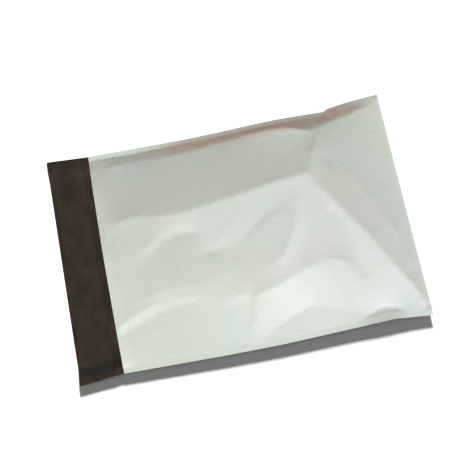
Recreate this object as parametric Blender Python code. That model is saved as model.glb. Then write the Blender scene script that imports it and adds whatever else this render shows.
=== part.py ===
"""Poly mailer bag: a white film mailer, lying on its rear panel with its mouth open.

The bag is one sheet of film, folded at the closed end and fused down both sides.
The rear panel runs on past the mouth as the lip, which carries an adhesive strip
under a peel-off liner.  The front panel stands up in the creased pillow that the
bag has taken.

Frame: metres, +X from the mouth to the folded end, +Y across, +Z up.  The origin is
the middle of the outline, on the surface that the rear panel lies on.
"""
import bmesh
import bpy
import numpy as np

# Driving sizes of the flat bag
BAG_LENGTH = 0.330       # from the mouth to the folded end
BAG_WIDTH = 0.254        # across the flat film
LIP_LENGTH = 0.048       # rear panel past the mouth
FILM = 0.0006            # wall of each panel
WELD_WIDTH = 0.006       # fused margin down each side

# Strip and liner on the lip
ADHESIVE_WIDTH = 0.026   # along X
ADHESIVE_THICKNESS = 0.0003
ADHESIVE_SIDE_MARGIN = 0.009
LINER_WIDTH = 0.034      # along X
LINER_THICKNESS = 0.0003
LINER_SIDE_MARGIN = 0.005
LINER_LIP_MARGIN = 0.005  # from the lip's free edge to the liner
CONTACT_GAP = 0.0003     # between pieces that touch

# Pillow form
LEFT_TURN = 0.022        # how far in from each weld the rear panel lifts off the surface
RIGHT_TURN = 0.014
LEFT_CURL = 0.0008       # height of the lip's free corners
RIGHT_CURL = 0.0035
POUCH_ROOM = 0.0005      # least space between the panels

# Mesh density
COLUMNS = 44             # from the mouth to the folded end
LIP_COLUMNS = 5
ROWS = 30                # across, welded margins included
ROW_CROWDING = 0.35      # share by which rows near the sides lie closer than the mean
FLAT_ANGLE = 0.0002      # faces that turn less than this, in radians, become one
RELIEF_STEP = 0.0025     # grid on which the relief is worked out
RELIEF_BLUR = 0.0025     # how softly the film turns at a crease
RELAX_STEPS = 1500

# The lines below are laid out in millimetres on the flat bag, and stretch with it.
# Along is from the mouth, across is from the middle.
MM = 0.001

# How far each side is drawn in from the flat outline: (along, inset)
LEFT_INSET = [(-48, 0), (0, 5.5), (100, 7), (160, 8), (225, 10), (250, 9.4), (266, 9.2),
              (273, 5.5), (296, 2), (330, 0)]
RIGHT_INSET = [(-48, 0), (0, 4.2), (110, 1.5), (170, 1), (250, 2.7), (290, 3.8), (302, 2.5),
               (330, 0)]

# Height of each side's weld, at the bag's edge and at its inner line: (along, height)
LEFT_EDGE = [(0, 6.4), (30, 6), (50, 5.2), (80, 4.4), (110, 3.8), (130, 5.2), (150, 6.4),
             (170, 9), (190, 11.8), (210, 13.8), (225, 14.2), (240, 11.4), (255, 8.8), (265, 6.8),
             (276, 4.2), (300, 2.4), (330, 2.6)]
LEFT_WELD = [(0, 6.2), (30, 5.4), (50, 4.8), (80, 4.8), (110, 5.4), (130, 6.8), (150, 8),
             (170, 10.7), (190, 13.7), (210, 15.8), (225, 16.2), (240, 13.4), (255, 10.8),
             (265, 9), (276, 6.8), (300, 4), (330, 3.4)]
RIGHT_EDGE = [(0, 4), (120, 4.4), (250, 4.8), (270, 5.2), (285, 5.4), (298, 5), (306, 4.6),
              (330, 4.2)]
RIGHT_WELD = [(0, 4.6), (120, 5), (250, 5.2), (262, 4.8), (270, 4.7), (285, 4.7), (298, 5),
              (306, 5.2), (330, 4.8)]

# Height of the front panel at the mouth and at the folded end: (across, height)
MOUTH_ARCH = [(-122.8, 4.2), (-112, 6.4), (-83, 10), (-40, 13.6), (8, 16.3), (42, 14.6), (80, 12.7),
              (101, 9.8), (110, 7.4), (115.5, 6.4), (121.5, 7.2)]
FOLDED_END = [(-127, 4), (-90, 3.2), (0, 2.6), (90, 3), (127, 3.6)]

# Creases of the front panel: (along, across, height)
CREASES = {
    "crown": [(6, 14, 15.4), (14, 26, 16), (24, 37, 17.7), (40, 39, 18.2), (60, 35, 18.8),
              (80, 33, 19.4), (100, 33, 20), (120, 35, 21), (150, 38, 23.2), (170, 40, 25),
              (190, 43, 26.3), (210, 45, 27), (234, 46, 27.2)],
    "end_ridge": [(234, 46, 27.2), (240, 31, 26), (247, 20, 25), (255, 8, 23.8),
                  (270, -15, 21.8), (285, -38, 19.4), (300, -66, 15.4), (315, -90, 11),
                  (325, -113, 6.5)],
    "end_flank": [(258, 62, 19.4), (275, 40, 17.4), (292, 10, 15.2), (308, -25, 12.2),
                  (320, -70, 8.4)],
    "tuck": [(234, 46, 27.2), (244, 72, 23.6), (255, 96, 17.4)],
    "left_brink": [(22, 103, 9.6), (40, 104, 8.8), (60, 103.5, 8.6), (90, 102.5, 9.4),
                   (110, 102, 10), (130, 104, 10.9), (150, 105, 11.8), (170, 105.5, 14.2),
                   (190, 106, 16.8), (210, 105, 19.2), (225, 102, 20.6), (238, 97, 20.8),
                   (246, 96, 19.4), (255, 96, 17.4)],
    "corner_brink": [(255, 96, 17.4), (263, 100, 14.8), (275, 104, 12), (290, 107, 9.2),
                     (300, 110, 7.6), (315, 115.5, 5)],
    "scarp_top": [(213, 25, 25.6), (210, 12, 24.9), (207, -6, 24.3), (199, -22, 23.6),
                  (189, -38, 22.2), (172, -44, 20.2), (156, -52, 17.6)],
    "scarp_foot": [(230, 34, 25.9), (228, 20, 24.5), (222, 0, 22.8), (216, -20, 20.8),
                   (209, -42, 19.4)],
    "gully_bed": [(243, 16, 24), (242, -5, 22), (240, -28, 19.6)],
    "gully_end": [(250, 2, 21.6), (256, -22, 19), (262, -48, 16), (269, -72, 12.8)],
    "dent_brow": [(213, 25, 25.6), (205, 21, 24.9), (190, 17, 23.7), (170, 7, 21.4),
                  (150, -9, 18.5), (138, -14, 17.3)],
    "dent_rise": [(208, 11, 24.8), (190, 8, 23.8), (170, -2, 21.5), (150, -19, 18.2),
                  (138, -25, 16.9)],
    "mouth_fold_top": [(36, -2, 16.6), (50, 5, 17.4), (60, 14, 17.8), (70, 20.5, 18.2),
                       (80, 23.5, 18.4), (90, 24.5, 18.7), (104, 26, 19.2)],
    "mouth_fold_foot": [(40, -14, 15.4), (50, -9, 15.6), (60, 1, 16), (70, 8, 16.2),
                        (80, 10, 16.1), (90, 11, 16), (99, 8, 15.7)],
    "tongue_top": [(150, 12, 21), (140, 5, 19.7), (130, -1, 18.5), (120, -6, 17),
                   (113, -8, 16)],
    "tongue_foot": [(138, -14, 17.3), (130, -14, 16.6), (119, -16, 15.4), (111, -14, 14.9)],
    "hollow_ridge": [(82, 4, 16.4), (80, -8, 16.3), (78, -25, 15.9), (77, -46, 15.2)],
    "hollow": [(96, 2, 15.9), (97, -20, 15.3), (97, -44, 14.6)],
    "long_ridge": [(2, -75, 11.2), (20, -67, 12.2), (40, -60, 12.8), (60, -56, 13),
                   (80, -58, 13.4), (94, -59, 13.5)],
    "long_shoulder": [(35, -50, 13.9), (60, -46, 14.6), (80, -46, 15), (100, -45, 14.6),
                      (115, -44, 14.9), (130, -40, 16.3)],
    "long_foot": [(4, -84, 8.8), (20, -78, 9.4), (40, -71, 10), (60, -66, 10.8),
                  (80, -64.5, 11.8), (95, -63, 12.5)],
    "low_step_top": [(120, -70, 12.4), (130, -68, 13.4), (141, -67, 14.8)],
    "low_step_foot": [(118, -80, 10.4), (130, -76, 11.6), (142, -75, 12.8)],
    "bump_ridge": [(150, -72, 15.3), (160, -70, 17), (175, -66, 18.5), (190, -61, 19.3),
                   (205, -56, 19.2), (215, -53, 19.2), (228, -49, 18.8), (240, -49.5, 18.4),
                   (252, -55, 17.6)],
    "bump_brow": [(248, -108, 6.6), (232, -103, 7.6), (222, -98, 8.4), (206, -93, 9.1),
                  (190, -99, 7.8), (170, -107, 6.8), (150, -118, 5.6)],
    "bump_left": [(152, -78, 14.8), (150, -92, 11.6), (140, -108, 7.2), (129, -118, 5.2)],
    "bump_gully": [(146, -65, 15.4), (143, -80, 12), (137, -98, 8.4)],
    "bump_right": [(252, -55, 17.6), (257, -67, 15.4), (259, -80, 12.8), (258, -94, 9.8),
                   (252, -107, 7)],
    "right_tuck": [(260, -118, 4.8), (268, -112, 4.3), (283, -109, 4.1), (292, -112, 4.2),
                   (301, -118, 5)],
}

# What follows from the sizes: the mouth's place, and metres for each drawn millimetre.
# The left inset is drawn as far as the folded end, and the folded end from side to side.
TOTAL_LENGTH = BAG_LENGTH + LIP_LENGTH
MOUTH_X = LIP_LENGTH - TOTAL_LENGTH / 2
ALONG_SCALE = BAG_LENGTH / LEFT_INSET[-1][0]
ACROSS_SCALE = BAG_WIDTH / (FOLDED_END[-1][0] - FOLDED_END[0][0])


def read_line(points, where, scale):
    """Value, in metres, of a line of (place, value) points at each place of where."""
    places, values = np.array(points, dtype=float).T
    return np.interp(where, places * scale, values * MM)


def side_line(along, side):
    """Across position of the bag's edge: half the flat width less the inset.

    side is +1 for the left edge, at +Y, and -1 for the right.  Past the mouth the inset
    fades with the lip's own length, so that the lip ends at its full width."""
    inset = LEFT_INSET if side > 0 else RIGHT_INSET
    lip_share = inset[0][0] * np.clip(-along / LIP_LENGTH, 0, 1)
    drawn = np.where(along < 0, lip_share, along / ALONG_SCALE)
    return side * (BAG_WIDTH / 2 - read_line(inset, drawn, 1.0))


def weld_height(along, side, share=1.0):
    """Height of the welded film's middle, from the bag's edge, share 0, to the inner line.

    Past the mouth it falls to the curl of the lip's free corner on that side."""
    edge, weld = (LEFT_EDGE, LEFT_WELD) if side > 0 else (RIGHT_EDGE, RIGHT_WELD)
    curl = LEFT_CURL if side > 0 else RIGHT_CURL
    place = np.maximum(along, 0)
    at_edge = read_line(edge, place, ALONG_SCALE)
    at_weld = read_line(weld, place, ALONG_SCALE)
    at_bag = at_edge + (at_weld - at_edge) * share
    lip_share = np.clip(-along / LIP_LENGTH, 0, 1)
    return at_bag + (curl + FILM - at_bag) * lip_share


def smooth_step(value):
    """0 below 0, 1 above 1, and a cubic with level ends between them."""
    value = np.clip(value, 0, 1)
    return value * value * (3 - 2 * value)


def rear_height(along, across):
    """Underside of the rear panel: flat, lifting to each weld within that side's turn."""
    height = np.zeros(np.broadcast(along, across).shape)
    for side, turn in ((1, LEFT_TURN), (-1, RIGHT_TURN)):
        from_edge = side * (side_line(along, side) - across)
        share = np.clip(from_edge / WELD_WIDTH, 0, 1)
        lift = 1 - smooth_step((from_edge - WELD_WIDTH) / turn)
        height = height + lift * (weld_height(along, side, share) - FILM)
    return height


def blur(field, radius):
    """Gaussian average over radius cells, with the field carried on past its border."""
    reach = int(np.ceil(3 * radius))
    weights = np.exp(-0.5 * (np.arange(-reach, reach + 1) / radius) ** 2)
    weights /= weights.sum()
    padded = np.pad(field, reach, mode="reflect", reflect_type="odd")
    for axis in (0, 1):
        padded = np.apply_along_axis(np.convolve, axis, padded, weights, mode="valid")
    return padded


def relief_field():
    """Height of the front panel on a square grid over the bag.

    The welds, the mouth, the folded end and the creases are held at their heights, and
    every other cell settles to the mean of its four neighbours, as a stretched film does.
    """
    along = np.arange(0, BAG_LENGTH + RELIEF_STEP, RELIEF_STEP)
    half_rows = int(np.ceil(BAG_WIDTH / 2 / RELIEF_STEP))
    across = np.arange(-half_rows, half_rows + 1) * RELIEF_STEP
    grid_along, grid_across = np.meshgrid(along, across, indexing="ij")
    height = np.zeros(grid_along.shape)
    held = np.zeros(height.shape, dtype=bool)

    for side in (1, -1):
        share = side * (side_line(grid_along, side) - grid_across) / WELD_WIDTH
        welded = share <= 1
        height[welded] = (weld_height(grid_along, side, np.maximum(share, 0)) + FILM)[welded]
        held |= welded
    height[0] = read_line(MOUTH_ARCH, across, ACROSS_SCALE)
    height[-1] = read_line(FOLDED_END, across, ACROSS_SCALE)
    held[0] = held[-1] = True

    for crease in CREASES.values():
        points = np.array(crease, dtype=float) * (ALONG_SCALE, ACROSS_SCALE, MM)
        steps = np.linspace(0, 1, 4 * len(along))
        knots = np.linspace(0, 1, len(points))
        trace = [np.interp(steps, knots, points[:, k]) for k in range(3)]
        column = np.rint(trace[0] / RELIEF_STEP).astype(int)
        row = np.rint(trace[1] / RELIEF_STEP).astype(int) + half_rows
        inside = (column > 0) & (column < len(along) - 1)
        height[column[inside], row[inside]] = trace[2][inside]
        held[column[inside], row[inside]] = True

    free = ~held
    height[free] = height[held].mean()
    for _ in range(RELAX_STEPS):
        padded = np.pad(height, 1, mode="edge")
        mean = (padded[:-2, 1:-1] + padded[2:, 1:-1] + padded[1:-1, :-2] + padded[1:-1, 2:]) / 4
        height[free] = mean[free]
    return blur(height, RELIEF_BLUR / RELIEF_STEP), half_rows


def sample(field, half_rows, along, across):
    """Bilinear reading of the relief at any places."""
    column = np.clip(along / RELIEF_STEP, 0, field.shape[0] - 1.001)
    row = np.clip(across / RELIEF_STEP + half_rows, 0, field.shape[1] - 1.001)
    i, j = column.astype(int), row.astype(int)
    a, b = column - i, row - j
    low = field[i, j] * (1 - a) + field[i + 1, j] * a
    high = field[i, j + 1] * (1 - a) + field[i + 1, j + 1] * a
    return low * (1 - b) + high * b


def wall_rise(height, along, across):
    """Vertical thickness of a film of wall FILM that lies on a sloping surface."""
    slope_along = np.gradient(height, axis=0) / np.gradient(along, axis=0)
    slope_across = np.gradient(height, axis=1) / np.gradient(across, axis=1)
    return FILM * np.sqrt(1 + slope_along ** 2 + slope_across ** 2)


def plan_grid(along_line):
    """Plan of the film at each place of along_line: both edges, both inner weld lines,
    and between those the rows, which lie closer together towards the sides."""
    share = np.linspace(0, 1, ROWS - 1)
    share = share - ROW_CROWDING * np.sin(2 * np.pi * share) / (2 * np.pi)
    left = side_line(along_line, 1)[:, None]
    right = side_line(along_line, -1)[:, None]
    inner = right + WELD_WIDTH + share * (left - right - 2 * WELD_WIDTH)
    across = np.concatenate([right, inner, left], axis=1)
    return np.repeat(along_line[:, None], ROWS + 1, axis=1), across


def mailer_mesh():
    """The folded film as one closed shell, whose pouch opens at the mouth.

    Four grids share one plan: the front panel's outside, the rear panel's outside with
    the lip, and the inner face of each.  The inner faces meet along both welds and one
    column before the folded end, and the rear one runs out over the lip."""
    along_line = np.concatenate([
        np.linspace(-LIP_LENGTH, 0, LIP_COLUMNS, endpoint=False),
        np.linspace(0, BAG_LENGTH, COLUMNS + 1)])
    first = LIP_COLUMNS
    last = len(along_line) - 1
    along, across = plan_grid(along_line)

    rear_outside = rear_height(along, across)
    rear_inside = rear_outside + wall_rise(rear_outside, along, across)
    field, half_rows = relief_field()
    front_outside = sample(field, half_rows, np.maximum(along, 0), across)
    front_drop = wall_rise(front_outside, along, across)
    front_inside = np.maximum(front_outside - front_drop, rear_inside + POUCH_ROOM)
    front_outside = front_inside + front_drop

    for row, side, share in ((0, -1, 0), (1, -1, 1), (-2, 1, 1), (-1, 1, 0)):
        middle = weld_height(along_line, side, share)
        rear_inside[:, row] = front_inside[:, row] = middle
        rear_outside[:, row] = middle - FILM
        front_outside[:, row] = middle + FILM
    rear_inside[last - 1] = (rear_inside[last - 1] + front_inside[last - 1]) / 2

    mesh = bmesh.new()

    def corner(height, i, j):
        return mesh.verts.new((along[i, j] + MOUTH_X, across[i, j], height[i, j]))

    rear_out = {(i, j): corner(rear_outside, i, j)
                for i in range(last + 1) for j in range(ROWS + 1)}
    front_out = {(i, j): corner(front_outside, i, j)
                 for i in range(first, last + 1) for j in range(ROWS + 1)}
    rear_in = {(i, j): corner(rear_inside, i, j)
               for i in range(last) for j in range(ROWS + 1)
               if i <= first or 0 < j < ROWS}
    front_in = {}
    for i in range(first, last):
        for j in range(1, ROWS):
            shared = j in (1, ROWS - 1) or i == last - 1
            front_in[i, j] = rear_in[i, j] if shared else corner(front_inside, i, j)

    def cell(grid, i, j):
        mesh.faces.new([grid[i, j], grid[i + 1, j], grid[i + 1, j + 1], grid[i, j + 1]])

    for i in range(last):
        for j in range(ROWS):
            cell(rear_out, i, j)
            if i >= first:
                cell(front_out, i, j)
            in_pouch = first <= i < last - 1 and 0 < j < ROWS - 1
            if i < first or in_pouch:
                cell(rear_in, i, j)
            if in_pouch:
                cell(front_in, i, j)
    rim_foot = [rear_in[first, 0], *(front_in[first, j] for j in range(1, ROWS)),
                rear_in[first, ROWS]]
    for j in range(ROWS):
        mesh.faces.new([front_out[first, j], front_out[first, j + 1], rim_foot[j + 1], rim_foot[j]])
        mesh.faces.new([rear_out[0, j], rear_out[0, j + 1], rear_in[0, j + 1], rear_in[0, j]])
        mesh.faces.new([rear_out[last, j], rear_out[last, j + 1],
                        front_out[last, j + 1], front_out[last, j]])
    for j in (0, ROWS):
        for i in range(last):
            if i < first:
                ring = [rear_out[i, j], rear_out[i + 1, j], rear_in[i + 1, j], rear_in[i, j]]
            else:
                ring = [rear_out[i, j], rear_out[i + 1, j], front_out[i + 1, j], front_out[i, j]]
                if i == first:
                    ring.append(rear_in[i, j])
            mesh.faces.new(ring)

    bmesh.ops.recalc_face_normals(mesh, faces=mesh.faces)
    bmesh.ops.dissolve_limit(mesh, angle_limit=FLAT_ANGLE, verts=mesh.verts, edges=mesh.edges)
    return mesh


def strip_mesh(lip_margin, width, side_margin, lift, thickness):
    """A thin strip across the lip, lying at the height lift over its inner face.

    Its long edges keep lip_margin from the lip's free edge, and its ends keep side_margin
    from the lip's sides.  Between its ends it has the film's own rows, so that it follows
    the film."""
    along_line = np.array([lip_margin, lip_margin + width]) - LIP_LENGTH
    along, film_rows = plan_grid(along_line)
    right = side_line(along_line, -1)[:, None] + side_margin
    left = side_line(along_line, 1)[:, None] - side_margin
    between = ((film_rows > right) & (film_rows < left)).all(axis=0)
    across = np.concatenate([right, film_rows[:, between], left], axis=1)
    along = along[:, :across.shape[1]]
    under = rear_height(along, across)
    under = under + wall_rise(under, along, across) + lift

    mesh = bmesh.new()
    last = across.shape[1] - 1
    bottom, top = [[[mesh.verts.new((along[i, j] + MOUTH_X, across[i, j], height[i, j]))
                     for j in range(last + 1)] for i in (0, 1)]
                   for height in (under, under + thickness)]
    for j in range(last):
        for grid in (bottom, top):
            mesh.faces.new([grid[0][j], grid[1][j], grid[1][j + 1], grid[0][j + 1]])
        for i in (0, 1):
            mesh.faces.new([bottom[i][j], bottom[i][j + 1], top[i][j + 1], top[i][j]])
    for j in (0, last):
        mesh.faces.new([bottom[0][j], bottom[1][j], top[1][j], top[0][j]])
    bmesh.ops.recalc_face_normals(mesh, faces=mesh.faces)
    return mesh


def material(name, color, roughness):
    """Plain plastic: one colour, one roughness and no metal."""
    made = bpy.data.materials.new(name)
    made.use_nodes = True
    shader = made.node_tree.nodes["Principled BSDF"]
    shader.inputs["Base Color"].default_value = (*color, 1)
    shader.inputs["Roughness"].default_value = roughness
    shader.inputs["Metallic"].default_value = 0
    return made


def add_piece(name, mesh, finish):
    """Put a finished mesh into the scene as one named object."""
    data = bpy.data.meshes.new(name)
    mesh.to_mesh(data)
    mesh.free()
    data.materials.append(finish)
    piece = bpy.data.objects.new(name, data)
    bpy.context.scene.collection.objects.link(piece)
    return piece


for old in list(bpy.data.objects):
    bpy.data.objects.remove(old)

add_piece("mailer_film", mailer_mesh(), material("white_film", (0.67, 0.70, 0.65), 0.4))

adhesive_lip_margin = LINER_LIP_MARGIN + (LINER_WIDTH - ADHESIVE_WIDTH) / 2
add_piece("adhesive_strip",
          strip_mesh(adhesive_lip_margin, ADHESIVE_WIDTH, ADHESIVE_SIDE_MARGIN,
                     CONTACT_GAP, ADHESIVE_THICKNESS),
          material("adhesive", (0.08, 0.07, 0.06), 0.3))
add_piece("release_liner",
          strip_mesh(LINER_LIP_MARGIN, LINER_WIDTH, LINER_SIDE_MARGIN,
                     2 * CONTACT_GAP + ADHESIVE_THICKNESS, LINER_THICKNESS),
          material("liner_film", (0.05, 0.035, 0.025), 0.35))
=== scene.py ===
"""The looks of a poly mailer bag: white satin film with a creased front, a dark inner face
and a lip with a closure strip, on a white table.

Lengths are in metres, except the creases and insets, which are in millimetres.
Along runs from the mouth to the folded end, across from the bag's middle, left is +Y."""

import bpy
import numpy as np
from mathutils import Matrix, Vector


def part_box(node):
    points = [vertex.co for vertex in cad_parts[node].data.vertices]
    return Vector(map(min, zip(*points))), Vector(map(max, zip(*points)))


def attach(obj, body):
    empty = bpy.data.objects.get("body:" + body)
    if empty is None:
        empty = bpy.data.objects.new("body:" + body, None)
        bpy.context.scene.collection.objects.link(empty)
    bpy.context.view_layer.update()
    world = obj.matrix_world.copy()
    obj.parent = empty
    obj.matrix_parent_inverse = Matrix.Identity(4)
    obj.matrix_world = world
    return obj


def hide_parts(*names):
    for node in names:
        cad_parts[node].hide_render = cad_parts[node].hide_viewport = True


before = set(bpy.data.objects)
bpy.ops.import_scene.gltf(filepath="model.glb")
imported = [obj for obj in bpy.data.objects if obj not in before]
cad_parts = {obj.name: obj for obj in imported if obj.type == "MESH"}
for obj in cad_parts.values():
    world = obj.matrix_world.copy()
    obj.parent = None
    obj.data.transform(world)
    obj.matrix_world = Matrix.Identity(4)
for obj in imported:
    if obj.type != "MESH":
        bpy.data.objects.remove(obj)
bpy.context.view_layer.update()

# The bag is one sheet of co-extruded polyethylene film, white outside and dark inside.  It is
# folded at the closed end and fused down both sides by a hot bar, and its rear panel runs on
# past the mouth as the lip.  The front panel keeps the creases of the goods it was filled with.
film_low, film_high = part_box("mailer_film")
LIP_LENGTH = 0.048
BAG_LENGTH = film_high.x - film_low.x - LIP_LENGTH
BAG_WIDTH = film_high.y - film_low.y
MOUTH_X = film_low.x + LIP_LENGTH
FILM = 0.00025            # drawn wall of each panel
WELD_WIDTH = 0.006        # fused margin down each side
REAR_TURN = {1: 0.022, -1: 0.014}    # how far in from the left and the right weld the rear
                                     # panel lifts off the table
LIP_CURL = {1: 0.0008, -1: 0.0035}   # height of the lip's free corners, left and right
POUCH_ROOM = 0.0005       # least space between the panels
ROOM_START = 0.008        # how far in from a weld they have that space

BAG_CELLS = 168           # from the mouth to the folded end
LIP_CELLS = 24
PANEL_CELLS = 124         # across, between the welds
WELD_CELLS = 3            # across each weld
ROW_CROWDING = 0.35       # share by which rows near the sides lie closer than the mean
RELIEF_STEP = 0.00125     # grid on which the relief is worked out
RELIEF_BLUR = 0.0010      # how softly the film turns at a crease
RELAX_STEPS = 5000
SHARP_ANGLE = 0.9         # rims sharper than this, in radians, keep a hard edge
MM = 0.001

# How far each side is drawn in from the flat outline: (along, inset)
LEFT_INSET = [(-48, 0), (0, 5.5), (100, 7), (160, 8), (225, 10), (250, 9.4), (266, 9.2),
              (273, 5.5), (296, 2), (330, 0)]
RIGHT_INSET = [(-48, 0), (0, 4.2), (110, 1.5), (170, 1), (250, 2.7), (290, 3.8), (302, 2.5),
               (330, 0)]

# Height of each side's weld, at the bag's edge and at its inner line: (along, height)
LEFT_EDGE = [(0, 6.4), (30, 6), (50, 5.2), (80, 4.4), (110, 3.8), (130, 5.2), (150, 6.4),
             (170, 9), (190, 11.8), (210, 13.8), (225, 14.2), (240, 11.4), (255, 8.8), (265, 6.8),
             (276, 4.2), (300, 2.4), (330, 2.6)]
LEFT_WELD = [(0, 6.2), (30, 5.4), (50, 4.8), (80, 4.8), (110, 5.4), (130, 6.8), (150, 8),
             (170, 10.7), (190, 13.7), (210, 15.8), (225, 16.2), (240, 13.4), (255, 10.8),
             (265, 9), (276, 6.8), (300, 4), (330, 3.4)]
RIGHT_EDGE = [(0, 4), (120, 4.4), (250, 4.8), (270, 5.2), (285, 5.4), (298, 5), (306, 4.6),
              (330, 4.2)]
RIGHT_WELD = [(0, 4.6), (120, 5), (250, 5.2), (262, 4.8), (270, 4.7), (285, 4.7), (298, 5),
              (306, 5.2), (330, 4.8)]

# Height of the front panel at the mouth and at the folded end: (across, height)
MOUTH_ARCH = [(-122.8, 4.2), (-112, 6.4), (-83, 10), (-40, 13.6), (8, 16.3), (42, 14.6), (80, 12.7),
              (101, 9.8), (110, 7.4), (115.5, 6.4), (121.5, 7.2)]
FOLDED_END = [(-127, 4), (-90, 3.2), (0, 2.6), (90, 3), (127, 3.6)]

# Creases of the front panel: (along, across, height)
CREASES = {
    "crown": [(6, 14, 15.4), (14, 26, 16), (24, 37, 17.7), (40, 39, 18.2), (60, 35, 18.8),
              (80, 33, 19.4), (100, 33, 20), (120, 35, 21), (150, 38, 23.2), (170, 40, 25),
              (190, 43, 26.3), (210, 45, 27), (234, 46, 27.2)],
    "end_ridge": [(234, 46, 27.2), (240, 31, 26), (247, 20, 25), (255, 8, 23.8),
                  (270, -15, 21.8), (285, -38, 19.4), (300, -66, 15.4), (315, -90, 11),
                  (325, -113, 6.5)],
    "end_flank": [(258, 62, 19.4), (275, 40, 17.4), (292, 10, 15.2), (308, -25, 12.2),
                  (320, -70, 8.4)],
    "tuck": [(234, 46, 27.2), (244, 72, 23.6), (255, 96, 17.4)],
    "left_brink": [(22, 103, 9.6), (40, 104, 8.8), (60, 103.5, 8.6), (90, 102.5, 9.4),
                   (110, 102, 10), (130, 104, 10.9), (150, 105, 11.8), (170, 105.5, 14.2),
                   (190, 106, 16.8), (210, 105, 19.2), (225, 102, 20.6), (238, 97, 20.8),
                   (246, 96, 19.4), (255, 96, 17.4)],
    "corner_brink": [(255, 96, 17.4), (263, 100, 14.8), (275, 104, 12), (290, 107, 9.2),
                     (300, 110, 7.6), (315, 115.5, 5)],
    "scarp_top": [(213, 25, 25.6), (210, 12, 24.9), (207, -6, 24.3), (199, -22, 23.6),
                  (189, -38, 22.2), (172, -44, 20.2), (156, -52, 17.6)],
    "scarp_foot": [(230, 34, 25.9), (228, 20, 24.5), (222, 0, 22.8), (216, -20, 20.8),
                   (209, -42, 19.4)],
    "gully_bed": [(243, 16, 24), (242, -5, 22), (240, -28, 19.6)],
    "gully_end": [(250, 2, 21.6), (256, -22, 19), (262, -48, 16), (269, -72, 12.8)],
    "dent_brow": [(213, 25, 25.6), (205, 21, 24.9), (190, 17, 23.7), (170, 7, 21.4),
                  (150, -9, 18.5), (138, -14, 17.3)],
    "dent_rise": [(208, 11, 24.8), (190, 8, 23.8), (170, -2, 21.5), (150, -19, 18.2),
                  (138, -25, 16.9)],
    "mouth_fold_top": [(36, -2, 16.6), (50, 5, 17.4), (60, 14, 17.8), (70, 20.5, 18.2),
                       (80, 23.5, 18.4), (90, 24.5, 18.7), (104, 26, 19.2)],
    "mouth_fold_foot": [(40, -14, 15.4), (50, -9, 15.6), (60, 1, 16), (70, 8, 16.2),
                        (80, 10, 16.1), (90, 11, 16), (99, 8, 15.7)],
    "tongue_top": [(150, 12, 21), (140, 5, 19.7), (130, -1, 18.5), (120, -6, 17),
                   (113, -8, 16)],
    "tongue_foot": [(138, -14, 17.3), (130, -14, 16.6), (119, -16, 15.4), (111, -14, 14.9)],
    "hollow_ridge": [(82, 4, 16.4), (80, -8, 16.3), (78, -25, 15.9), (77, -46, 15.2)],
    "hollow": [(96, 2, 15.9), (97, -20, 15.3), (97, -44, 14.6)],
    "long_ridge": [(2, -75, 11.2), (20, -67, 12.2), (40, -60, 12.8), (60, -56, 13),
                   (80, -58, 13.4), (94, -59, 13.5)],
    "long_shoulder": [(35, -50, 13.9), (60, -46, 14.6), (80, -46, 15), (100, -45, 14.6),
                      (115, -44, 14.9), (130, -40, 16.3)],
    "long_foot": [(4, -84, 8.8), (20, -78, 9.4), (40, -71, 10), (60, -66, 10.8),
                  (80, -64.5, 11.8), (95, -63, 12.5)],
    "low_step_top": [(120, -70, 12.4), (130, -68, 13.4), (141, -67, 14.8)],
    "low_step_foot": [(118, -80, 10.4), (130, -76, 11.6), (142, -75, 12.8)],
    "bump_ridge": [(150, -72, 15.3), (160, -70, 17), (175, -66, 18.5), (190, -61, 19.3),
                   (205, -56, 19.2), (215, -53, 19.2), (228, -49, 18.8), (240, -49.5, 18.4),
                   (252, -55, 17.6)],
    "bump_brow": [(248, -108, 6.6), (232, -103, 7.6), (222, -98, 8.4), (206, -93, 9.1),
                  (190, -99, 7.8), (170, -107, 6.8), (150, -118, 5.6)],
    "bump_left": [(152, -78, 14.8), (150, -92, 11.6), (140, -108, 7.2), (129, -118, 5.2)],
    "bump_gully": [(146, -65, 15.4), (143, -80, 12), (137, -98, 8.4)],
    "bump_right": [(252, -55, 17.6), (257, -67, 15.4), (259, -80, 12.8), (258, -94, 9.8),
                   (252, -107, 7)],
    "right_tuck": [(260, -118, 4.8), (268, -112, 4.3), (283, -109, 4.1), (292, -112, 4.2),
                   (301, -118, 5)],
}


def read_line(points, where):
    """Value, in metres, of a line of (place, value) points at each place, in millimetres."""
    places, values = np.array(points, dtype=float).T
    return np.interp(where, places, values * MM)


def side_line(along, side):
    """Across position of the bag's edge on that side, +1 left and -1 right: half the flat
    width less the drawn inset."""
    inset = LEFT_INSET if side > 0 else RIGHT_INSET
    return side * (BAG_WIDTH / 2 - read_line(inset, along / MM))


def weld_height(along, side, share):
    """Height of the welded film's middle, straight from its height at the bag's edge, share 0,
    to that at the weld's inner line, share 1, and falling along the lip to its curl."""
    edge, weld = (LEFT_EDGE, LEFT_WELD) if side > 0 else (RIGHT_EDGE, RIGHT_WELD)
    place = np.maximum(along, 0) / MM
    at_bag = read_line(edge, place) * (1 - share) + read_line(weld, place) * share
    lip_share = np.clip(-along / LIP_LENGTH, 0, 1)
    return at_bag + (LIP_CURL[side] + FILM - at_bag) * lip_share


def smooth_step(value):
    """0 below 0, 1 above 1, and the cubic 3v^2 - 2v^3 between them."""
    value = np.clip(value, 0, 1)
    return value * value * (3 - 2 * value)


def rear_height(along, across):
    """Underside of the rear panel: on the table, and rising by a smooth step to the weld."""
    height = np.zeros(np.broadcast(along, across).shape)
    for side in (1, -1):
        from_edge = side * (side_line(along, side) - across)
        share = np.clip(from_edge / WELD_WIDTH, 0, 1)
        lift = 1 - smooth_step((from_edge - WELD_WIDTH) / REAR_TURN[side])
        height = height + lift * (weld_height(along, side, share) - FILM)
    return height


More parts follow.
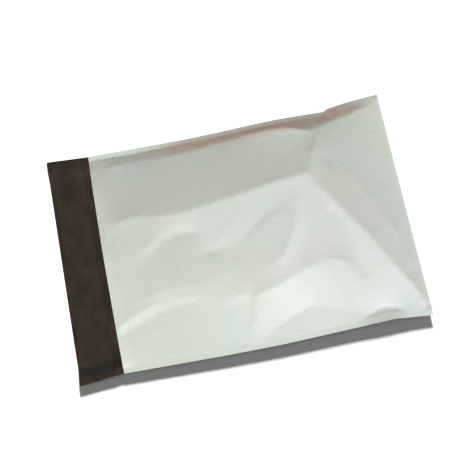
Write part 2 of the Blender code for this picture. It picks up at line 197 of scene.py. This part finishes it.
def blur(field, radius):
    """Gaussian average over radius cells: one row of weights run along each axis in turn."""
    reach = int(np.ceil(3 * radius))
    weights = np.exp(-0.5 * (np.arange(-reach, reach + 1) / radius) ** 2)
    weights /= weights.sum()
    padded = np.pad(field, reach, mode="reflect", reflect_type="odd")
    for axis in (0, 1):
        padded = np.apply_along_axis(np.convolve, axis, padded, weights, mode="valid")
    return padded


def relief_field():
    """Height of the front panel on a square grid over the bag.  Welds, mouth, folded end and
    creases are held at their heights, every other cell settles to the mean of its four
    neighbours, as a taut film does, and a Gaussian blur rounds the creases."""
    along = np.arange(0, BAG_LENGTH + RELIEF_STEP, RELIEF_STEP)
    half_rows = int(np.ceil(BAG_WIDTH / 2 / RELIEF_STEP))
    across = np.arange(-half_rows, half_rows + 1) * RELIEF_STEP
    grid_along, grid_across = np.meshgrid(along, across, indexing="ij")
    height = np.zeros(grid_along.shape)
    held = np.zeros(height.shape, dtype=bool)
    for side in (1, -1):
        share = side * (side_line(grid_along, side) - grid_across) / WELD_WIDTH
        welded = share <= 1
        height[welded] = (weld_height(grid_along, side, np.maximum(share, 0)) + FILM)[welded]
        held |= welded
    height[0] = read_line(MOUTH_ARCH, across / MM)
    height[-1] = read_line(FOLDED_END, across / MM)
    held[0] = held[-1] = True
    for crease in CREASES.values():
        points = np.array(crease, dtype=float) * MM
        steps = np.linspace(0, 1, 4 * len(along))
        knots = np.linspace(0, 1, len(points))
        trace = [np.interp(steps, knots, points[:, k]) for k in range(3)]
        column = np.rint(trace[0] / RELIEF_STEP).astype(int)
        row = np.rint(trace[1] / RELIEF_STEP).astype(int) + half_rows
        inside = (column > 0) & (column < len(along) - 1)
        height[column[inside], row[inside]] = trace[2][inside]
        held[column[inside], row[inside]] = True
    free = ~held
    height[free] = height[held].mean()
    for _ in range(RELAX_STEPS):
        padded = np.pad(height, 1, mode="edge")
        mean = (padded[:-2, 1:-1] + padded[2:, 1:-1] + padded[1:-1, :-2] + padded[1:-1, 2:]) / 4
        height[free] = mean[free]
    return blur(height, RELIEF_BLUR / RELIEF_STEP), half_rows


def sample(field, half_rows, along, across):
    """Bilinear reading of the relief: the four cells round a place, weighted by nearness."""
    column = np.clip(along / RELIEF_STEP, 0, field.shape[0] - 1.001)
    row = np.clip(across / RELIEF_STEP + half_rows, 0, field.shape[1] - 1.001)
    i, j = column.astype(int), row.astype(int)
    a, b = column - i, row - j
    low = field[i, j] * (1 - a) + field[i + 1, j] * a
    high = field[i, j + 1] * (1 - a) + field[i + 1, j + 1] * a
    return low * (1 - b) + high * b


def wall_rise(height, along, across):
    """Vertical thickness of a film of wall FILM lying on a slope: FILM times the slope's
    length over its run."""
    slope_along = np.gradient(height, axis=0) / np.gradient(along, axis=0)
    slope_across = np.gradient(height, axis=1) / np.gradient(across, axis=1)
    return FILM * np.sqrt(1 + slope_along ** 2 + slope_across ** 2)


def plan_rows(along_line):
    """Across position of every row at each place along: WELD_CELLS even cells in each weld,
    and between the welds rows that a sine crowds towards the sides."""
    share = np.linspace(0, 1, PANEL_CELLS + 1)
    share = share - ROW_CROWDING * np.sin(2 * np.pi * share) / (2 * np.pi)
    left = side_line(along_line, 1)[:, None]
    right = side_line(along_line, -1)[:, None]
    in_weld = np.linspace(0, WELD_WIDTH, WELD_CELLS, endpoint=False)
    panel = right + WELD_WIDTH + share * (left - right - 2 * WELD_WIDTH)
    return np.concatenate([right + in_weld, panel, left - in_weld[::-1]], axis=1)


def numbered(present, start):
    """Running numbers, from start, for the grid points that are present, and -1 elsewhere."""
    numbers = np.full(present.shape, -1)
    numbers[present] = start + np.arange(present.sum())
    return numbers


def cells(grid, wanted, facing_up):
    """The quads of a grid of point numbers where wanted, wound to face up or down."""
    quads = np.stack([grid[:-1, :-1], grid[1:, :-1], grid[1:, 1:], grid[:-1, 1:]], axis=-1)[wanted]
    return quads if facing_up else quads[:, ::-1]


def band(top, bottom):
    """Quads between two rows of point numbers.  They face -X where the rows run along +Y."""
    return np.stack([top[:-1], top[1:], bottom[1:], bottom[:-1]], axis=-1)


def film_mesh():
    """The folded film as one closed shell, open at the mouth.

    Four grids share one plan: the outside of each panel, the rear one with the lip, and the
    inside of each.  The insides meet at both welds and one cell before the folded end, and
    rims close the lip, the mouth, the sides and the fold."""
    along_line = np.concatenate([np.linspace(-LIP_LENGTH, 0, LIP_CELLS, endpoint=False),
                                 np.linspace(0, BAG_LENGTH, BAG_CELLS + 1)])
    across = plan_rows(along_line)
    along = np.repeat(along_line[:, None], across.shape[1], axis=1)
    last, rows = along.shape[0] - 1, along.shape[1] - 1
    i, j = np.indices(along.shape)

    rear_outside = rear_height(along, across)
    rear_inside = rear_outside + wall_rise(rear_outside, along, across)
    field, half_rows = relief_field()
    front_outside = sample(field, half_rows, np.maximum(along, 0), across)
    front_drop = wall_rise(front_outside, along, across)
    from_weld = np.minimum(side_line(along, 1) - across, across - side_line(along, -1)) - WELD_WIDTH
    room = POUCH_ROOM * smooth_step(from_weld / ROOM_START)
    front_inside = np.maximum(front_outside - front_drop, rear_inside + room)
    front_outside = front_inside + front_drop
    for side in (1, -1):
        share = side * (side_line(along, side) - across) / WELD_WIDTH
        welded = share < 1.001
        middle = weld_height(along, side, np.clip(share, 0, 1))
        rear_inside[welded] = front_inside[welded] = middle[welded]
        rear_outside[welded] = middle[welded] - FILM
        front_outside[welded] = middle[welded] + FILM
    rear_inside[last - 1] = (rear_inside[last - 1] + front_inside[last - 1]) / 2

    panel = (j >= WELD_CELLS) & (j <= rows - WELD_CELLS)
    on_front = i >= LIP_CELLS
    shared = (j == WELD_CELLS) | (j == rows - WELD_CELLS) | (i == last - 1)
    rear_out = numbered(i >= 0, 0)
    front_out = numbered(on_front, rear_out.max() + 1)
    rear_in = numbered((i <= LIP_CELLS) | (panel & (i < last)), front_out.max() + 1)
    front_in = numbered(on_front & panel & (i < last) & ~shared, rear_in.max() + 1)
    front_in = np.where(on_front & panel & (i < last) & shared, rear_in, front_in)

    cell_i, cell_j = np.indices((last, rows))
    on_lip = cell_i < LIP_CELLS
    in_panel = (cell_j >= WELD_CELLS) & (cell_j < rows - WELD_CELLS)
    in_pouch = ~on_lip & (cell_i < last - 1) & in_panel
    outer = [cells(rear_out, cell_i >= 0, False), cells(front_out, ~on_lip, True)]
    inner = [cells(rear_in, on_lip | in_pouch, True), cells(front_in, in_pouch, False)]
    mouth_foot = np.where(panel[LIP_CELLS], front_in[LIP_CELLS], rear_in[LIP_CELLS])
    side_top = np.where(i <= LIP_CELLS, rear_in, front_out)
    outer += [band(rear_in[0], rear_out[0]), band(front_out[LIP_CELLS], mouth_foot),
              band(rear_out[last], front_out[last]),
              band(rear_out[:, 0], side_top[:, 0]), band(side_top[:, rows], rear_out[:, rows])]
    mouth = LIP_CELLS
    corners = [[front_out[mouth, 0], rear_in[mouth, 0], front_out[mouth + 1, 0]],
               [front_out[mouth, rows], front_out[mouth + 1, rows], rear_in[mouth, rows]]]

    outer, inner = np.concatenate(outer), np.concatenate(inner)
    grids = [(rear_out, rear_outside), (front_out, front_outside), (rear_in, rear_inside),
             (np.where(shared, -1, front_in), front_inside)]
    count = max(grid.max() for grid, _ in grids) + 1
    points, flat = np.zeros((count, 3)), np.zeros((count, 2))
    for grid, height in grids:
        there = grid >= 0
        points[grid[there]] = np.stack([along + MOUTH_X, across, height], axis=-1)[there]
        flat[grid[there]] = np.stack([along, across], axis=-1)[there]
    mesh = bpy.data.meshes.new("mailer_film_skin")
    mesh.from_pydata(points, [], outer.tolist() + inner.tolist() + corners)
    is_inner = np.concatenate([np.zeros(len(outer), int), np.ones(len(inner), int), [0, 0]])
    mesh.polygons.foreach_set("material_index", is_inner)
    for name, side in (("from_left", 1), ("from_right", -1)):
        distance = side * (side_line(flat[:, 0], side) - flat[:, 1])
        mesh.attributes.new(name, "FLOAT", "POINT").data.foreach_set("value", distance)
    mesh.attributes.new("from_mouth", "FLOAT", "POINT").data.foreach_set("value", flat[:, 0])
    mesh.shade_smooth()
    mesh.set_sharp_from_angle(angle=SHARP_ANGLE)
    return mesh


class Value:
    """A value that varies over a surface: an output socket of a material's nodes.
    Arithmetic on it adds Math nodes, and mix, scaled and tinted work on colours."""

    def __init__(self, tree, socket=None):
        self.tree = tree
        self.socket = socket

    def node(self, kind, settings, sockets, output=0):
        """Add a node, give it its settings and then the values or links of its sockets."""
        made = self.tree.nodes.new("ShaderNode" + kind)
        for name, setting in settings.items():
            setattr(made, name, setting)
        for name, given in sockets.items():
            if isinstance(given, Value):
                self.tree.links.new(given.socket, made.inputs[name])
            else:
                made.inputs[name].default_value = given
        return Value(self.tree, made.outputs[output])

    def math(self, operation, first, second=0.0):
        return self.node("Math", {"operation": operation}, {0: first, 1: second})

    def __add__(self, other):
        return self.math("ADD", self, other)

    def __sub__(self, other):
        return self.math("SUBTRACT", self, other)

    def __rsub__(self, other):
        return self.math("SUBTRACT", other, self)

    def __mul__(self, other):
        return self.math("MULTIPLY", self, other)

    def __abs__(self):
        return self.math("ABSOLUTE", self)

    __radd__ = __add__
    __rmul__ = __mul__

    def least(self, other):
        return self.math("MINIMUM", self, other)

    def ramp(self, start, end):
        """0 at start, 1 at end, and a smooth step between them."""
        return self.node("MapRange", {"interpolation_type": "SMOOTHSTEP"},
                         {"Value": self, "From Min": start, "From Max": end})

    def between(self, rise_start, rise_end, fall_start, fall_end):
        """0, then 1 from rise_end to fall_start, then 0 again, with smooth steps."""
        return self.ramp(rise_start, rise_end) * (1 - self.ramp(fall_start, fall_end))

    def mix(self, first, second):
        """The first colour where this value is 0, the second where it is 1."""
        return self.node("Mix", {"data_type": "RGBA"}, {0: self, 6: first, 7: second}, 2)

    def scaled(self, factor):
        """This colour times a factor."""
        return self.node("VectorMath", {"operation": "SCALE"}, {0: self, "Scale": factor})

    def tinted(self, painted_light_tint):
        """This colour times another, channel by channel."""
        return self.node("VectorMath", {"operation": "MULTIPLY"}, {0: self, 1: painted_light_tint})

    def noise(self, size, detail=2.0, stretch=(1, 1, 1)):
        """Soft noise of about that size in metres, drawn out along the axes, on this place."""
        place = self.node("Mapping", {}, {"Vector": self, "Scale": [1 / k for k in stretch]})
        return self.node("TexNoise", {}, {"Vector": place, "Scale": 1 / size, "Detail": detail})


def new_material(name):
    """An empty material with a Principled shader, and where its surface lies."""
    made = bpy.data.materials.new(name)
    made.use_nodes = True
    place = Value(made.node_tree).node("TexCoord", {}, {}, "Object")
    return made, made.node_tree.nodes["Principled BSDF"], place


def feed(shader, **sockets):
    """Link values to the shader's sockets, or set them.  An underscore stands for a space."""
    for name, given in sockets.items():
        socket = shader.inputs[name.replace("_", " ")]
        if isinstance(given, Value):
            given.tree.links.new(given.socket, socket)
        else:
            socket.default_value = given


COOL_WHITE = (0.663, 0.729, 0.670, 1)
WARM_WHITE = (0.698, 0.724, 0.660, 1)
# Painted shading: the warm brown of the shaded steep strip by the left weld
EDGE_SHADE_BROWN = (0.69, 0.60, 0.52, 1)
# Painted light: the lit right side turns cooler towards the fold, and the shaded left side is
# darker and warmer
RIGHT_LIGHT_TINTS = (1.0, 0.99, 0.945, 1), (1.0, 1.01, 1.06, 1)       # at the mouth and at the fold
LEFT_SHADE_TINTS = (0.960, 0.960, 0.955, 1), (0.975, 0.970, 0.955, 1)

CLOUD_SIZE = 0.08
MOTTLE_SIZE = 0.012
STREAK_WIDTH = 0.0012
STREAK_STRETCH = 60       # length of a die streak over its width
CRUMPLE_SIZE = 0.006
WRINKLE_SIZE = 0.0016     # of the fine crumples

# Where marks and painted light on the film begin and end, as distances over which each fades in or
# out
WELD_LINE = 0.0062        # from the edge to the pressed line
MOUTH_LIGHT_END = (0.009, 0.013)  # painted light along the mouth; this and the next three are from the mouth
# Painted light: a paler band across the middle of the bag
LIGHT_BAND = (0.06, 0.13, 0.215, 0.25)
FOLD_LIGHT_START = (0.322, 0.329)
# Painted shading: where the steep strip by the left weld is tinted warm brown, along and across
EDGE_SHADE_ALONG = (0.04, 0.11, 0.285, 0.315)
EDGE_SHADE_ACROSS = (0.001, 0.006, 0.012, 0.021)     # from the left edge


def crumples(place, coarse_depth, fine_depth):
    """Height of the film's soft crumples: coarse noise and fine noise, each about zero."""
    coarse = place.noise(CRUMPLE_SIZE, 3) - 0.5
    fine = place.noise(WRINKLE_SIZE, 2) - 0.5
    return coarse * coarse_depth + fine * fine_depth


def white_film():
    """Satin white polyethylene: clouds of cooler and warmer white, die streaks along Y, soft
    crumples, and the pressed line of each weld.  Painted light on it: darker and warmer towards
    the shaded left side and cooler towards the fold on the lit right side, a warm brown painted
    shading on the steep strip along the left edge, and paler painted bands of light across the
    middle, along the mouth and along the fold."""
    made, shader, place = new_material("white_film")
    from_left, from_right, from_mouth = [
        place.node("Attribute", {"attribute_name": name}, {}, "Fac")
        for name in ("from_left", "from_right", "from_mouth")]
    from_side = from_left.least(from_right)
    clouds = place.noise(CLOUD_SIZE, 2).ramp(0.35, 0.65)
    mottle = place.noise(MOTTLE_SIZE, 3) - 0.5
    streaks = place.noise(STREAK_WIDTH, 1, (1, STREAK_STRETCH, 1)) - 0.5
    # Painted light: the film is paler along the mouth
    painted_mouth_light = 1 - from_mouth.ramp(*MOUTH_LIGHT_END)
    weld = 1 - from_side.ramp(WELD_WIDTH - 0.0005, WELD_WIDTH + 0.0005)
    weld_line = 1 - abs(from_side - WELD_LINE).ramp(0.0002, 0.0007)
    # Painted light: a paler strip along the folded end, where the fold catches the light
    fold = from_mouth.ramp(*FOLD_LIGHT_START)
    # Painted light: a paler band across the middle of the bag
    painted_light_band = from_mouth.between(*LIGHT_BAND)
    # Real tone (mottle, die streaks, weld line) and the painted light bands above together scale
    # the colour
    tone_and_painted_light = (0.99 + mottle * 0.04 + streaks * 0.03 + painted_light_band * 0.03 + painted_mouth_light * 0.03 + fold * 0.05
             - weld_line * 0.005)
    # Painted shading: a warm brown on the steep strip by the left weld, which lies in shadow
    stretched = from_left.between(*EDGE_SHADE_ACROSS) * from_mouth.between(*EDGE_SHADE_ALONG)
    # Painted light and shading: darker and warmer towards the shaded left, cooler towards the fold
    # on the lit right
    to_fold = from_mouth.ramp(0.0, BAG_LENGTH)
    to_left = from_right.ramp(0.04, 0.23)
    painted_light_tint = to_left.mix(to_fold.mix(*RIGHT_LIGHT_TINTS), to_fold.mix(*LEFT_SHADE_TINTS))
    white = clouds.mix(COOL_WHITE, WARM_WHITE).tinted(painted_light_tint)
    color = stretched.mix(white, EDGE_SHADE_BROWN).scaled(tone_and_painted_light)
    height = crumples(place, 0.00022, 0.00003) + streaks * 0.00001 - weld_line * 0.00002
    bump = place.node("Bump", {}, {"Height": height, "Distance": 1.0})
    feed(shader, Base_Color=color, Roughness=0.44 + mottle * 0.12 - weld * 0.06, Normal=bump,
         Metallic=0.0)
    return made


INNER_BROWN = (0.044, 0.026, 0.014, 1)
INNER_BLACK = (0.018, 0.012, 0.007, 1)
INNER_CLOUD_SIZE = 0.03
INNER_MOTTLE_SIZE = 0.004


def dark_film():
    """The film's inner face: brown-black, with the same soft crumples as the outer one."""
    made, shader, place = new_material("dark_film")
    clouds = place.noise(INNER_CLOUD_SIZE, 3).ramp(0.3, 0.7)
    mottle = place.noise(INNER_MOTTLE_SIZE, 3) - 0.5
    color = clouds.mix(INNER_BROWN, INNER_BLACK).scaled(1 + mottle * 0.4)
    height = crumples(place, 0.00025, 0.00004)
    bump = place.node("Bump", {}, {"Height": height, "Distance": 1.0})
    feed(shader, Base_Color=color, Roughness=0.45 + mottle * 0.2, Normal=bump, Metallic=0.0,
         Specular_IOR_Level=0.18)
    return made


film = bpy.data.objects.new("mailer_film_skin", film_mesh())
bpy.context.scene.collection.objects.link(film)
film.data.materials.append(white_film())
film.data.materials.append(dark_film())
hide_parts("mailer_film")
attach(film, "root")

# The closure strip is hot-melt adhesive, laid across the inner face of the lip in one pass.
# It stays tacky under its liner, so it is a little glossier than the film and finely ribbed
# by the nozzle.
STRIP_ROWS = 240
STRIP_THICKNESS = 0.0003
STRIP_GAP = 0.0001        # from the lip to the adhesive, and from that to the liner
WAVE_ALONG, WAVE_ACROSS = 90, 300   # waves of a strip, in radians a metre
ADHESIVE_CELLS = 24
ADHESIVE_DARK = (0.050, 0.040, 0.030, 1)
ADHESIVE_PALE = (0.080, 0.068, 0.052, 1)
RIB_WIDTH = 0.0011


def strip_mesh(name, node, row_count, cell_count, layer, waviness):
    """A thin strip over the plan of the CAD strip: a grid on a lifted copy of the lip's inner
    face, closed below and round its rim.  Layer 0 lies on the lip and layer 1 on that, and
    a product of two sines waves the top."""
    low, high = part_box(node)
    along_line = np.linspace(low.x, high.x, cell_count + 1) - MOUTH_X
    across_line = np.linspace(low.y, high.y, row_count + 1)
    along, across = np.meshgrid(along_line, across_line, indexing="ij")
    under = rear_height(along, across) + FILM + STRIP_GAP
    under = under + layer * (STRIP_THICKNESS + STRIP_GAP)
    wave = np.sin(across * WAVE_ACROSS) * np.sin(along * WAVE_ALONG)
    top = under + STRIP_THICKNESS + waviness * wave
    shape = along.shape
    below = np.arange(along.size).reshape(shape)
    above = below + along.size
    everywhere = np.ones((cell_count, row_count), bool)
    faces = [cells(below, everywhere, False), cells(above, everywhere, True),
             band(above[0], below[0]), band(below[-1], above[-1]),
             band(below[:, 0], above[:, 0]), band(above[:, -1], below[:, -1])]
    points = [np.stack([along + MOUTH_X, across, height], axis=-1).reshape(-1, 3)
              for height in (under, top)]
    mesh = bpy.data.meshes.new(name)
    mesh.from_pydata(np.concatenate(points), [], np.concatenate(faces).tolist())
    mesh.shade_smooth()
    mesh.set_sharp_from_angle(angle=SHARP_ANGLE)
    return mesh


def tacky_adhesive():
    """Dark glossy hot melt with fine ribs along the strip."""
    made, shader, place = new_material("tacky_adhesive")
    ribs = place.noise(RIB_WIDTH, 1, (1, 40, 1)) - 0.5
    blots = place.noise(0.009, 3) - 0.5
    color = blots.ramp(-0.2, 0.2).mix(ADHESIVE_DARK, ADHESIVE_PALE)
    bump = place.node("Bump", {}, {"Height": ribs * 0.00008 + blots * 0.0001, "Distance": 1.0})
    feed(shader, Base_Color=color.scaled(1 + ribs * 0.2), Roughness=0.28 + blots * 0.15,
         Normal=bump, Metallic=0.0)
    return made


adhesive = bpy.data.objects.new("adhesive_bead", strip_mesh("adhesive_bead", "adhesive_strip",
                                                            STRIP_ROWS, ADHESIVE_CELLS, 0, 0.0))
bpy.context.scene.collection.objects.link(adhesive)
adhesive.data.materials.append(tacky_adhesive())
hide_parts("adhesive_strip")
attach(adhesive, "root")

# The release liner is a dark siliconised film, a little wider than the adhesive it covers.
# It lies on the adhesive's tack alone and is peeled off by one end.
LINER_CELLS = 30
LINER_WAVE = 0.00005
LINER_BROWN = (0.042, 0.026, 0.015, 1)
LINER_BLACK = (0.020, 0.013, 0.008, 1)


def slick_liner():
    """Dark siliconised film: smoother than the lip, with faint ripples across it."""
    made, shader, place = new_material("slick_liner")
    ripple = place.noise(0.004, 2, (6, 1, 1)) - 0.5
    blots = place.noise(0.02, 2) - 0.5
    color = blots.ramp(-0.2, 0.2).mix(LINER_BROWN, LINER_BLACK)
    bump = place.node("Bump", {}, {"Height": ripple * 0.0002, "Distance": 1.0})
    feed(shader, Base_Color=color.scaled(1 + ripple * 0.2), Roughness=0.34 + blots * 0.1,
         Normal=bump, Metallic=0.0, Specular_IOR_Level=0.2)
    return made


liner = bpy.data.objects.new("release_film", strip_mesh("release_film", "release_liner",
                                                        STRIP_ROWS, LINER_CELLS, 1, LINER_WAVE))
bpy.context.scene.collection.objects.link(liner)
liner.data.materials.append(slick_liner())
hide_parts("release_liner")
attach(liner, "root")

# The table is a plain white disc that fades into the white room.  To the camera it is bright
# and keeps the bag's shadow, and the light it throws back on the bag is dim and warm.
TABLE_RADIUS = 4.0
TABLE_SIDES = 96
TABLE_WHITE = (0.72, 0.84, 1.0, 1)
TABLE_BOUNCE = (0.50, 0.40, 0.33, 1)
TABLE_GLOW = 0.025


def table_finish():
    """White to the camera and in reflections, brown as a source of light, with a faint glow
    that lifts the shadow."""
    made, shader, place = new_material("table_white")
    path = [place.node("LightPath", {}, {}, ray)
            for ray in ("Is Camera Ray", "Is Glossy Ray", "Is Transmission Ray")]
    seen = (path[0] + path[1] + path[2]).least(1.0)
    feed(shader, Base_Color=seen.mix(TABLE_BOUNCE, TABLE_WHITE), Roughness=1.0,
         Specular_IOR_Level=0.0, Emission_Color=(1, 1, 1, 1), Emission_Strength=TABLE_GLOW)
    return made


turns = np.linspace(0, 2 * np.pi, TABLE_SIDES, endpoint=False)
rim = np.stack([np.cos(turns), np.sin(turns), 0 * turns], axis=-1) * TABLE_RADIUS
table_mesh = bpy.data.meshes.new("table")
table_mesh.from_pydata(rim, [], [list(range(len(rim)))])
table_mesh.materials.append(table_finish())
table = bpy.data.objects.new("table", table_mesh)
bpy.context.scene.collection.objects.link(table)

# The room: one broad cool key lamp low on the bag's right lights the bag alone, a lamp from
# its left lights the table alone, which puts the bag's shadow on its right side, and a warm
# grey sky fills in.  To the camera the sky is plain white.
KEY_STRENGTH = 4.0
KEY_COLOR = (0.955, 1.0, 1.04)
KEY_ELEVATION, KEY_AZIMUTH = 31, -88      # degrees, as are the spreads
KEY_SPREAD = 14
TABLE_LAMP_STRENGTH = 16.0
TABLE_LAMP_COLOR = (1.0, 0.85, 0.70)
TABLE_LAMP_ELEVATION, TABLE_LAMP_AZIMUTH = 18, 78
TABLE_LAMP_SPREAD = 7
SKY_FILL = (0.220, 0.187, 0.152, 1)


def add_sun(name, strength, color, spread, elevation, azimuth, lit):
    """A sun whose rays come from that elevation and azimuth, in degrees, the azimuth being
    counted from +X towards +Y.  It lights only the listed objects."""
    data = bpy.data.lights.new(name, "SUN")
    data.energy = strength
    data.color = color
    data.angle = np.radians(spread)
    lamp = bpy.data.objects.new(name, data)
    e, a = np.radians(elevation), np.radians(azimuth)
    towards = Vector((np.cos(e) * np.cos(a), np.cos(e) * np.sin(a), np.sin(e)))
    lamp.rotation_euler = towards.to_track_quat("Z", "Y").to_euler()
    receivers = bpy.data.collections.new(name + "_lights")
    for piece in lit:
        receivers.objects.link(piece)
    lamp.light_linking.receiver_collection = receivers
    bpy.context.scene.collection.objects.link(lamp)


add_sun("key", KEY_STRENGTH, KEY_COLOR, KEY_SPREAD, KEY_ELEVATION, KEY_AZIMUTH,
        [film, adhesive, liner])
add_sun("table_lamp", TABLE_LAMP_STRENGTH, TABLE_LAMP_COLOR, TABLE_LAMP_SPREAD,
        TABLE_LAMP_ELEVATION, TABLE_LAMP_AZIMUTH, [table])

world = bpy.data.worlds.new("white_room")
world.use_nodes = True
bpy.context.scene.world = world
sky = Value(world.node_tree)
sky_path = [sky.node("LightPath", {}, {}, ray)
            for ray in ("Is Camera Ray", "Is Glossy Ray", "Is Transmission Ray")]
sky_seen = (sky_path[0] + sky_path[1] + sky_path[2]).least(1.0)
background = world.node_tree.nodes["Background"]
feed(background, Color=sky_seen.mix(SKY_FILL, (1, 1, 1, 1)), Strength=1.0)
bpy.context.scene.view_settings.view_transform = "Standard"

# The camera looks down at the bag from its right side, turned a little about its own axis.
LENS = 74.24
SENSOR = 36.0
CAMERA_ELEVATION, CAMERA_AZIMUTH, CAMERA_ROLL = 75.0, 1.4, -12.9
CAMERA_DISTANCE = 1.013
CAMERA_AIM = Vector((-0.0064, 0.0147, 0))

elevation, azimuth = np.radians(CAMERA_ELEVATION), np.radians(CAMERA_AZIMUTH)
back = Vector((np.sin(azimuth) * np.cos(elevation), -np.cos(azimuth) * np.cos(elevation),
               np.sin(elevation)))
upright = back.to_track_quat("Z", "Y").to_matrix()
camera_data = bpy.data.cameras.new("photo_view")
camera_data.lens = LENS
camera_data.sensor_width = SENSOR
camera = bpy.data.objects.new("photo_view", camera_data)
turned = upright @ Matrix.Rotation(np.radians(CAMERA_ROLL), 3, "Z")
camera.matrix_world = Matrix.Translation(CAMERA_AIM + back * CAMERA_DISTANCE) @ turned.to_4x4()
bpy.context.scene.collection.objects.link(camera)
bpy.context.scene.camera = camera
